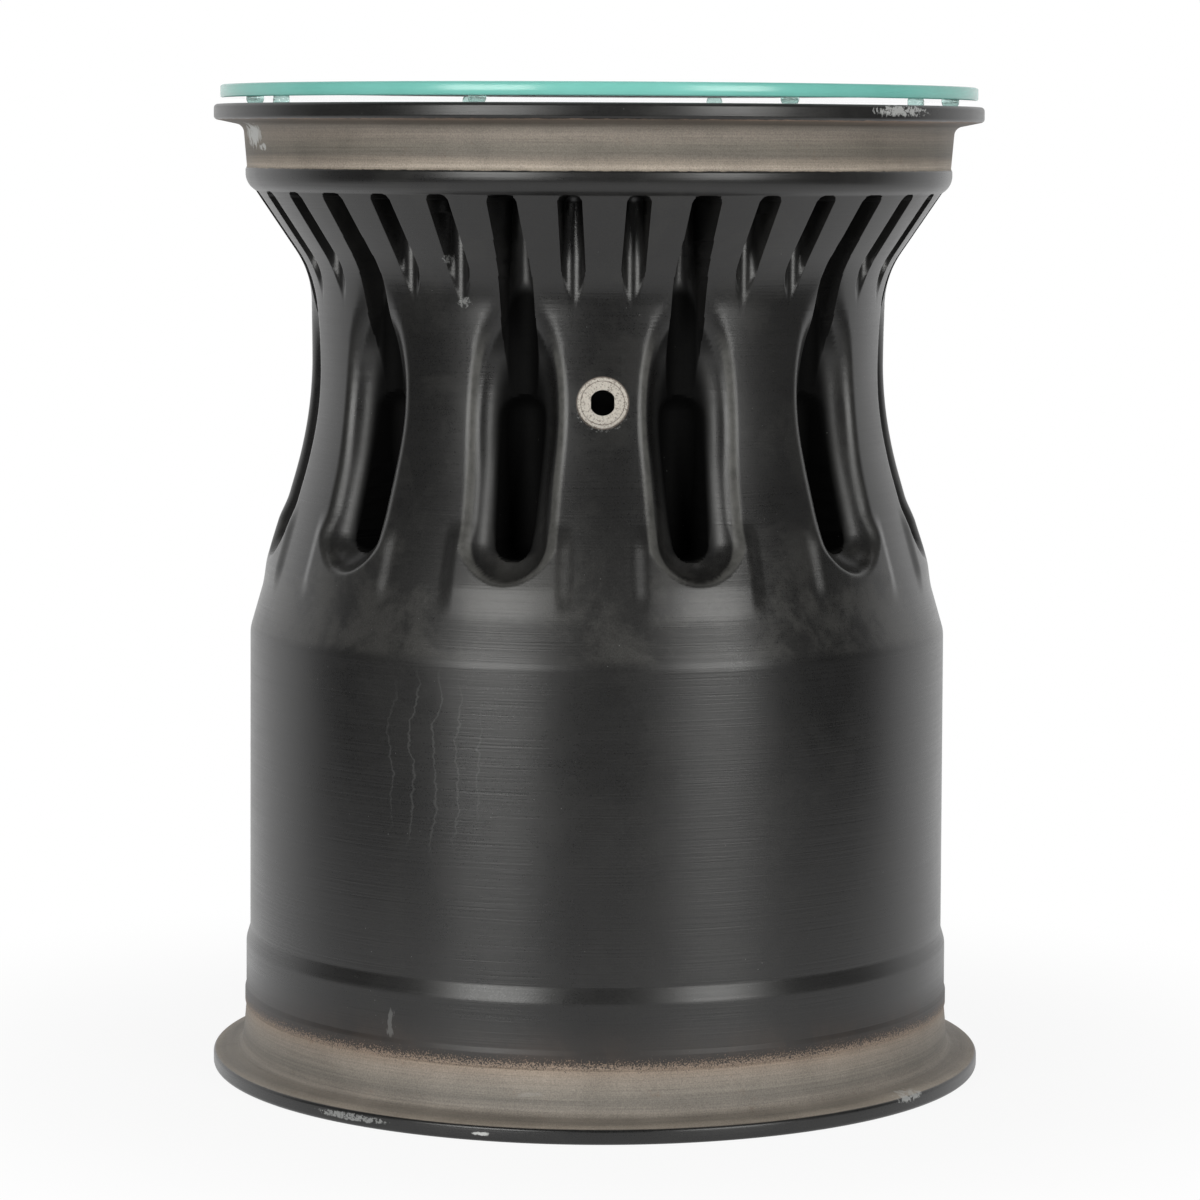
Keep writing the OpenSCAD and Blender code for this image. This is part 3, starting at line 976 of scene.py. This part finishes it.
rimFinish = {
    "paintDark": grey(0.0070, 0.01),
    "paintLight": grey(0.0135, 0.02),
    "haze": (0.034, 0.033, 0.030, 1),
    "dust": (0.050, 0.049, 0.046, 1),
    "valveMetal": (0.60, 0.56, 0.50, 1),
    # dark tone for the pits of the valve ring, and for the painted shade on its step and edge
    "valvePitsAndShade": (0.16, 0.13, 0.11, 1),
    "white": (0.62, 0.63, 0.62, 1),
    # pale grey painted as a highlight on the rounded pocket edges
    "edgeLight": (0.092, 0.091, 0.085, 1),
    "edgeLightX": (0.070, 0.088),  # painted highlight full within the first, hardly beyond the second
    # near black painted as shade deep in the pockets, and the depths where it starts and is full
    "pocketShade": grey(0.010),
    "shadeDepth": (6.2, 11.0),  # millimetres below the skin
    "rust": (0.17, 0.09, 0.05, 1),
    "brownHaze": (0.038, 0.027, 0.021, 1),
    # heights in metres
    "dustZ": (0.206, 0.250),
    "brownZ": (0.030, 0.040),
    "topSeatZ": (0.41815, 0.4403),
    "lowSeatZ": ((0.0066, 0.0072), (0.0330, 0.0290)),
    "roughness": 0.28,
    # how much each of these adds to the roughness
    "dulls": {
        "cloud": 0.06, "lines": 0.08, "grain": 0.22, "haze": 0.12,
        "face": 0.18, "seats": 0.30, "bloom": 0.22, "shadeDepth": 0.45,
    },
    # tone of the bare seats by height: streaks and a rust line in the metal; the top seat's also has painted
    # shade under the flange and painted light toward its lower edge
    "topSeat": [
        (0.4181, (0.33, 0.285, 0.23)), (0.4198, (0.43, 0.37, 0.31)), (0.4222, (0.28, 0.24, 0.197)),
        (0.4250, (0.16, 0.143, 0.12)), (0.4285, (0.18, 0.162, 0.135)), (0.4330, (0.24, 0.208, 0.176)),
        (0.4370, (0.185, 0.163, 0.138)), (0.4386, (0.115, 0.10, 0.083)), (0.4396, (0.15, 0.122, 0.098)),
        (0.4402, (0.30, 0.215, 0.165)),
    ],
    "lowSeat": [
        (0.0068, (0.38, 0.33, 0.275)), (0.0082, (0.23, 0.205, 0.175)), (0.0105, (0.25, 0.222, 0.19)),
        (0.0150, (0.185, 0.168, 0.146)), (0.0200, (0.24, 0.215, 0.184)), (0.0245, (0.285, 0.245, 0.205)),
        (0.0285, (0.31, 0.25, 0.198)), (0.0330, (0.27, 0.195, 0.145)),
    ],
}

# Dried edges of drips down the barrel
drips = {
    "centre": (-0.074, -0.144, 0.160),
    "reach": (0.030, 0.03, 0.043),
    "perMetre": 105.0,
    "wander": 2.2,
    "strength": 0.05,
}

# Knocks and rubbed patches: strength, middle, reach, scale, amount and, if uneven, stretch
rimMarks = [
    (0.80, (0.131, -0.122, 0.4447), (0.034, 0.034, 0.0045), 420.0, 0.30),
    (0.90, (-0.159, -0.047, 0.4330), (0.012, 0.03, 0.0115), 260.0, 0.34, (1, 1, 0.35)),
    (0.80, (-0.153, -0.063, 0.4275), (0.004, 0.02, 0.0035), 330.0, 0.40, (1, 1, 0.5)),
    (0.55, (0.140, -0.113, 0.0065), (0.020, 0.02, 0.0045), 420.0, 0.36),
    (0.90, (-0.052, -0.171, 0.0035), (0.0065, 0.02, 0.0014), 260.0, 0.30, (1, 1, 2)),
    (0.42, (-0.110, -0.141, 0.0040), (0.060, 0.03, 0.0036), 620.0, 0.70),
    (0.30, (-0.061, -0.125, 0.3600), (0.0065, 0.02, 0.0055), 700.0, 0.50),
    (0.22, (-0.068, -0.125, 0.3790), (0.0055, 0.02, 0.0045), 700.0, 0.55),
    (0.13, (-0.092, -0.134, 0.0440), (0.0065, 0.02, 0.0120), 330.0, 0.45, (1, 1, 0.35)),
    (0.10, (-0.035, -0.17, 0.0185), (0.022, 0.03, 0.0030), 190.0, 0.50, (0.5, 0.5, 1.6)),
]


# A colour for each height, from (height, colour) stops
def heightRamp(tree, z, stops):
    low, high = stops[0][0], stops[-1][0]
    share = put(tree, "MapRange", {"Value": z, "From Min": low, "From Max": high}).outputs[0]
    node = put(tree, "ValToRGB", {0: share})
    ramp = node.color_ramp
    for i, (height, colour) in enumerate(stops):
        spot = (height - low) / (high - low)
        stop = ramp.elements[i] if i < 2 else ramp.elements.new(spot)
        stop.position = spot
        stop.color = (*colour, 1)
    return node.outputs[0]


# 1 between two heights
def ringMask(tree, z, low, high, softLow, softHigh):
    above = remap(tree, z, low - softLow, low + softLow)
    below = remap(tree, z, high + softHigh, high - softHigh)
    return times(tree, above, below)


# Height with a wandering error, for borders that aren't quite level
def wander(tree, point, z, scale, reach):
    return stirred(tree, z, noise(tree, point, scale, 3.0), reach)


# The bare spot face round the valve hole, its pits, and painted shade on its step and in the dark line round
# its edge
def valveMasks(tree, point, parts):
    flat = put(tree, "CombineXYZ", {0: parts["X"], 1: 0.0, 2: parts["Z"]}).outputs[0]
    hub = (0, 0, valve["z"] * mm)
    away = put(tree, "VectorMath", {0: flat, 1: hub}, operation="DISTANCE").outputs["Value"]
    front = remap(tree, parts["Y"], -0.1, -0.12)
    face = remap(tree, away, (valve["faceR"] + 0.12) * mm, (valve["faceR"] - 0.12) * mm)
    face = times(tree, face, front)
    # Painted shade: a dark line on the step, and a dark band just inside the spot face's edge as the shadow
    # of its wall
    step = remap(tree, apart(tree, away, valve["stepR"] * mm), 0.0004, 0.0, 0.0, 0.7)
    lipShadow = remap(tree, away, *(r * mm for r in valve["lipR"]), 0.0, 0.9)
    pits = noise(tree, point, 1100.0, 4.0, 0.8)
    pitsAndShade = maths(tree, "ADD", step, remap(tree, pits, 0.50, 0.62, 0.0, 0.8), clamp=True)
    pitsAndShade = maths(tree, "ADD", pitsAndShade, lipShadow, clamp=True)
    ring = remap(tree, away, *(r * mm for r in valve["chipsR"]))
    low = remap(tree, parts["Z"], *(z * mm for z in valve["chipsBelow"]))
    chips = remap(tree, noise(tree, point, 900.0, 3.0, 0.8), 0.56, 0.62)
    chips = times(tree, chips, times(tree, ring, low))
    chips = times(tree, times(tree, chips, front), 0.35)
    return face, pitsAndShade, pits, chips


# Worn satin black with bare bead seats and a bare ring round the valve hole
def rimMaterial():
    material, tree, shader, point = newMaterial("rimBlack")
    parts = put(tree, "SeparateXYZ", {0: point}).outputs
    z = parts["Z"]
    lines = turningMarks(tree, point, 1300.0, 12.0)
    broad = turningMarks(tree, point, 170.0, 6.0)
    cloud = clouded(tree, point, 8.0, 900.0, 0.5)
    smear = clouded(tree, point, 26.0, 240.0, 0.5)
    grain = noise(tree, point, 1600.0, 3.0, 0.75)
    paint = blendColour(tree, cloud, rimFinish["paintDark"], rimFinish["paintLight"])
    hazy = times(tree, remap(tree, smear, 0.55, 1.0), remap(tree, z, 0.22, 0.26, 0.10, 0.22))
    paint = blendColour(tree, hazy, paint, rimFinish["haze"])
    dusty = ringMask(tree, z, *rimFinish["dustZ"], 0.003, 0.020)
    dusty = times(tree, dusty, remap(tree, smear, 0.25, 0.95, 0.10, 0.75))
    paint = blendColour(tree, dusty, paint, rimFinish["dust"])
    paint = scaled(tree, paint, stirred(tree, 1.0, grain, 1.6))

    # Brown bloom above the lower seat, and sparse bright specks in it
    bloom = ringMask(tree, z, *rimFinish["brownZ"], 0.004, 0.012)
    brown = times(tree, bloom, remap(tree, smear, 0.2, 0.9, 0.35, 0.9))
    paint = blendColour(tree, brown, paint, rimFinish["brownHaze"])

    # Dull seats where the tyre sat, with the black rubbed off in specks along the lower one's border
    edge = wander(tree, point, z, 300.0, 0.0009)
    topSeat = ringMask(tree, edge, *rimFinish["topSeatZ"], 0.0003, 0.0002)
    dotty = wander(tree, point, z, 1500.0, 0.016)
    starts, ends = rimFinish["lowSeatZ"]
    lowSeat = times(tree, remap(tree, z, *starts), remap(tree, dotty, *ends))
    seats = maths(tree, "ADD", topSeat, lowSeat, clamp=True)
    # The top seat's ramp holds painted shade under the flange and painted light toward its lower edge
    banded = stirred(tree, z, broad, 0.003)
    bare = blendColour(
        tree, remap(tree, z, 0.2, 0.21), heightRamp(tree, banded, rimFinish["lowSeat"]),
        heightRamp(tree, banded, rimFinish["topSeat"])
    )
    shade = stirred(tree, stirred(tree, stirred(tree, 1.0, grain, 1.5), lines, 0.7), smear, 0.22)
    bare = scaled(tree, bare, shade)
    spots = noise(tree, point, 130.0, 6.0, 0.75)
    bare = blendColour(tree, remap(tree, spots, 0.58, 0.75, 0.0, 0.35), bare, rimFinish["rust"])
    colour = blendColour(tree, seats, paint, bare)

    # Spot face round the valve hole
    face, pitsAndShade, pits, chips = valveMasks(tree, point, parts)
    ringTone = blendColour(tree, pitsAndShade, rimFinish["valveMetal"], rimFinish["valvePitsAndShade"])
    colour = blendColour(tree, face, colour, ringTone)

    # Painted highlight on the rounded pocket edges, and painted shade deep in the pockets, where the black
    # goes dull and near black
    paleMark = put(tree, "Attribute", attribute_name="paleMark").outputs["Fac"]
    paleMark = times(tree, paleMark, remap(tree, spots, 0.3, 0.65, 0.5, 1.0))
    # The painted highlight is kept to the pockets that face front and back
    front = remap(tree, maths(tree, "ABSOLUTE", parts["X"]), *rimFinish["edgeLightX"], 1.0, 0.15)
    paleMark = times(tree, paleMark, front)
    colour = blendColour(tree, paleMark, colour, rimFinish["edgeLight"])
    # Painted shade deep in the pockets: near black, made metallic and rough below so it shows no reflection
    shadeDepth = put(tree, "Attribute", attribute_name="shadeDepth").outputs["Fac"]
    shadeDepth = remap(tree, shadeDepth, *rimFinish["shadeDepth"])
    colour = blendColour(tree, shadeDepth, colour, rimFinish["pocketShade"])

    # Knocks, and the dried edges of drips down the barrel
    marks = chips
    for strength, *spot in rimMarks:
        mark = scuffed(tree, point, *spot)
        marks = larger(tree, marks, times(tree, mark, strength))
    tide = noise(tree, vector(tree, "MULTIPLY", point, (0.5, 0.5, 1.0)), 30.0, 6.0, 0.62)
    along = times(tree, parts["X"], drips["perMetre"])
    tide = maths(tree, "MULTIPLY_ADD", tide, drips["wander"], along)
    tide = remap(tree, apart(tree, maths(tree, "FRACT", tide), 0.5), 0.06, 0.01)
    away = awayFrom(tree, point, drips["centre"], drips["reach"])
    tide = times(tree, tide, remap(tree, away, 1.1, 0.6, 0.0, drips["strength"]))
    speck = put(tree, "TexVoronoi", {"Vector": point, "Scale": 210.0}).outputs["Distance"]
    pick = remap(tree, noise(tree, point, 25.0, 1.0), 0.5, 0.62, 0.0, 0.30)
    speck = times(tree, remap(tree, speck, 0.05, 0.02), pick)
    light = larger(tree, larger(tree, tide, speck), marks)
    colour = blendColour(tree, light, colour, rimFinish["white"])

    # Shine and relief
    clear = maths(tree, "SUBTRACT", 1.0, marks, clamp=True)
    metal = maths(tree, "MULTIPLY_ADD", face, 0.45, times(tree, seats, 0.15))
    # Metallic goes to 1 in the painted shade deep in the pockets, so its near black takes away the reflection
    # too
    metal = larger(tree, times(tree, metal, clear), shadeDepth)
    dulls = rimFinish["dulls"]
    rough = maths(tree, "MULTIPLY_ADD", cloud, dulls["cloud"], rimFinish["roughness"])
    rough = stirred(tree, stirred(tree, rough, lines, dulls["lines"]), grain, dulls["grain"])
    rough = maths(tree, "MULTIPLY_ADD", larger(tree, hazy, paleMark), dulls["haze"], rough)
    for mask, name in ((face, "face"), (seats, "seats"), (bloom, "bloom"), (shadeDepth, "shadeDepth")):
        rough = maths(tree, "MULTIPLY_ADD", mask, dulls[name], rough)
    height = maths(tree, "MULTIPLY_ADD", pits, times(tree, face, 0.8), lines)
    height = maths(tree, "MULTIPLY_ADD", grain, times(tree, seats, 0.8), height)
    height = maths(tree, "MULTIPLY_ADD", marks, -0.6, height)
    feed(tree, shader, {
        "Base Color": colour, "Metallic": metal, "Roughness": rough,
        "Normal": bumped(tree, height, 0.14, 0.0004),
    })
    return material


# Satin black on the forged, less finely turned wheel centre
def forgedMaterial():
    material, tree, shader, point = newMaterial("centreBlack")
    lines = turningMarks(tree, point, 350.0, 40.0)
    cloud = clouded(tree, point, 14.0, 900.0, 0.6)
    colour = blendColour(tree, cloud, grey(0.011), grey(0.02, 0.02))
    paleMark = scuffed(tree, point, (0, 0, 0.334), (0.07, 0.07, 0.006), 240.0, 0.42)
    colour = blendColour(tree, times(tree, paleMark, 0.3), colour, rimFinish["white"])
    feed(tree, shader, {
        "Base Color": colour, "Roughness": maths(tree, "MULTIPLY_ADD", cloud, 0.1, 0.36),
        "Normal": bumped(tree, lines, 0.15, 0.0004),
    })
    return material


# Bare turned metal, for the nut seat and the bushes
def turnedMetal(name, dark, light, metallic, lineCount, roughness):
    material, tree, shader, point = newMaterial(name)
    lines = turningMarks(tree, point, lineCount, 90.0)
    cloud = clouded(tree, point, 60.0, 1500.0, 0.4)
    tone = maths(tree, "MULTIPLY_ADD", lines, 0.5, times(tree, cloud, 0.5))
    feed(tree, shader, {
        "Base Color": blendColour(tree, tone, dark, light), "Metallic": metallic,
        "Roughness": maths(tree, "MULTIPLY_ADD", lines, 0.14, roughness),
        "Normal": bumped(tree, lines, 0.2, 0.0003),
    })
    return material


glassLook = {
    "face": (0.90, 0.975, 0.955, 1),
    "edge": ((0.235, 0.69, 0.60, 1), (0.27, 0.75, 0.665, 1)),
    "bumper": ((0.62, 0.88, 0.83, 1), (0.72, 0.93, 0.89, 1)),
    "bending": 1.52,  # of light in glass
}


# Clear float glass with a faint green cast and a little dust
def glassMaterial():
    material, tree, shader, point = newMaterial("glassFace")
    dust = clouded(tree, point, 11.0, 700.0, 0.0)
    feed(tree, shader, {
        "Base Color": glassLook["face"], "Transmission Weight": 1.0, "IOR": glassLook["bending"],
        "Roughness": times(tree, dust, 0.004),
    })
    return material


# Polished glass edge, which gathers the green of the whole pane
def glassEdgeMaterial():
    material, tree, shader, point = newMaterial("glassEdge")
    cloud = clouded(tree, point, 16.0, 300.0, 0.1)
    feed(tree, shader, {
        "Base Color": blendColour(tree, cloud, *glassLook["edge"]), "Transmission Weight": 0.15,
        "IOR": glassLook["bending"], "Roughness": maths(tree, "MULTIPLY_ADD", cloud, 0.05, 0.17),
    })
    return material


# Clear soft bumper
def rubberMaterial():
    material, tree, shader, point = newMaterial("clearRubber")
    cloud = clouded(tree, point, 90.0, 900.0, 0.2)
    feed(tree, shader, {
        "Base Color": blendColour(tree, cloud, *glassLook["bumper"]), "Transmission Weight": 0.8,
        "IOR": 1.42, "Roughness": maths(tree, "MULTIPLY_ADD", cloud, 0.06, 0.1),
    })
    return material


rimBlack = rimMaterial()
centreBlack = forgedMaterial()
nutMetal = turnedMetal("nutAluminium", (0.30, 0.30, 0.31, 1), (0.52, 0.53, 0.54, 1), 0.9, 900.0, 0.28)
bushMetal = turnedMetal("bushSteel", (0.36, 0.36, 0.36, 1), (0.58, 0.58, 0.57, 1), 1.0, 1600.0, 0.24)
glassFace = glassMaterial()
glassEdge = glassEdgeMaterial()
clearRubber = rubberMaterial()
for obj in rimRings:
    obj.data.materials.clear()
    obj.data.materials.append(rimBlack)
wheelCentre.data.materials.clear()
wheelCentre.data.materials.append(centreBlack)
nutSeatRing.data.materials.append(nutMetal)
for bush in bushes:
    bush.data.materials.append(bushMetal)
glassTop.data.materials.append(glassFace)
glassTop.data.materials.append(glassEdge)
for bumper in bumpers:
    bumper.data.materials.append(clearRubber)
print("finishes made")


# What each piece rides on and stands for

for obj in rimRings:
    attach(obj, "rim")
    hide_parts("rim_barrel")
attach(wheelCentre, "rim")
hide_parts("wheel_centre")
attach(nutSeatRing, "rim")
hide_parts("nut_seat_ring")
for i, bush in enumerate(bushes):
    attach(bush, "rim")
    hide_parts(f"drive_bush_{i + 1}")
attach(glassTop, "top")
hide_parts("glass_top")
for i, bumper in enumerate(bumpers):
    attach(bumper, "top")
    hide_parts(f"bumper_{i + 1}")
print("pieces ride on their bodies")


# Studio

studio = {
    "floorR": 0.9,
    "floorPaint": (0.92, 0.92, 0.92, 1),
    "roomLevel": 0.1,  # light from all round
    "mirrorWhite": (0.05, 0.5),  # how far back a mirrored ray points where white starts and is full
    "floorGlow": (0.91, 1.0),  # how much of the floor's white is there whatever the light, near and far
    "floorFade": (0.19, 0.45),
    "lamps": [
        # turn from the front, distance, height, width, tall, radiance
        (-33.0, 2.4, 0.62, 1.18, 1.15, 7.0),
        (37.5, 2.4, 0.62, 1.0, 1.15, 6.6),
    ],
    "aimZ": 0.3,
    "overhead": (0.2, 2.3, 1.5, 1.3),  # how far back, height, size, radiance
    "warmth": (1.0, 0.998, 0.975),
}


def addLamps():
    for i, (turn, away, height, width, tall, radiance) in enumerate(studio["lamps"]):
        data = bpy.data.lights.new(f"softbox{i + 1}", "AREA")
        data.shape = "RECTANGLE"
        data.size = width
        data.size_y = tall
        data.energy = radiance * math.pi * width * tall
        data.color = studio["warmth"]
        obj = addObject(f"softbox{i + 1}", data)
        angle = math.radians(turn)
        place = Vector((away * math.sin(angle), -away * math.cos(angle), height))
        aim = Vector((0, 0, studio["aimZ"])) - place
        obj.matrix_world = Matrix.Translation(place) @ aim.to_track_quat("-Z", "Y").to_matrix().to_4x4()
    back, height, size, radiance = studio["overhead"]
    data = bpy.data.lights.new("overhead", "AREA")
    data.size = size
    data.energy = radiance * math.pi * size * size
    addObject("overhead", data).location = (0, back, height)


# White background, which metal and glass show too where they mirror it; the room in front is dim
def addWorld():
    world = bpy.data.worlds.new("studio")
    bpy.context.scene.world = world
    world.use_nodes = True
    tree = world.node_tree
    tree.nodes.clear()
    path = put(tree, "LightPath").outputs
    towards = put(tree, "NewGeometry").outputs["Incoming"]
    back = times(tree, put(tree, "SeparateXYZ", {0: towards}).outputs["Y"], -1.0)
    behind = remap(tree, back, *studio["mirrorWhite"])
    mirrored = times(tree, path["Is Glossy Ray"], behind)
    white = larger(tree, path["Is Camera Ray"], path["Is Transmission Ray"])
    white = larger(tree, white, mirrored)
    room = put(tree, "Background", {"Color": (1, 1, 1, 1), "Strength": studio["roomLevel"]})
    plain = put(tree, "Background", {"Color": (1, 1, 1, 1), "Strength": 1.0})
    mix = put(tree, "MixShader", {0: white, 1: room.outputs[0], 2: plain.outputs[0]})
    put(tree, "OutputWorld", {"Surface": mix.outputs[0]})


def addFloor():
    bm = bmesh.new()
    bmesh.ops.create_circle(bm, cap_ends=True, segments=96, radius=studio["floorR"])
    floor = finished("floor", bm)
    material = bpy.data.materials.new("floorWhite")
    material.use_nodes = True
    tree = material.node_tree
    tree.nodes.clear()
    path = put(tree, "LightPath").outputs
    seen = larger(tree, path["Is Camera Ray"], path["Is Glossy Ray"])
    seen = larger(tree, seen, path["Is Transmission Ray"])
    point = put(tree, "TexCoord").outputs["Object"]
    away = put(tree, "VectorMath", {0: point}, operation="LENGTH").outputs["Value"]
    share = remap(tree, away, *studio["floorFade"], *studio["floorGlow"])
    paper = put(tree, "BsdfDiffuse", {"Color": studio["floorPaint"]})
    glow = put(tree, "Emission", {"Color": (1, 1, 1, 1), "Strength": 1.0})
    share = times(tree, seen, share)
    mix = put(tree, "MixShader", {0: share, 1: paper.outputs[0], 2: glow.outputs[0]})
    put(tree, "OutputMaterial", {"Surface": mix.outputs[0]})
    floor.data.materials.append(material)


addLamps()
addWorld()
addFloor()
bpy.context.scene.view_settings.view_transform = "Standard"
print("studio set")
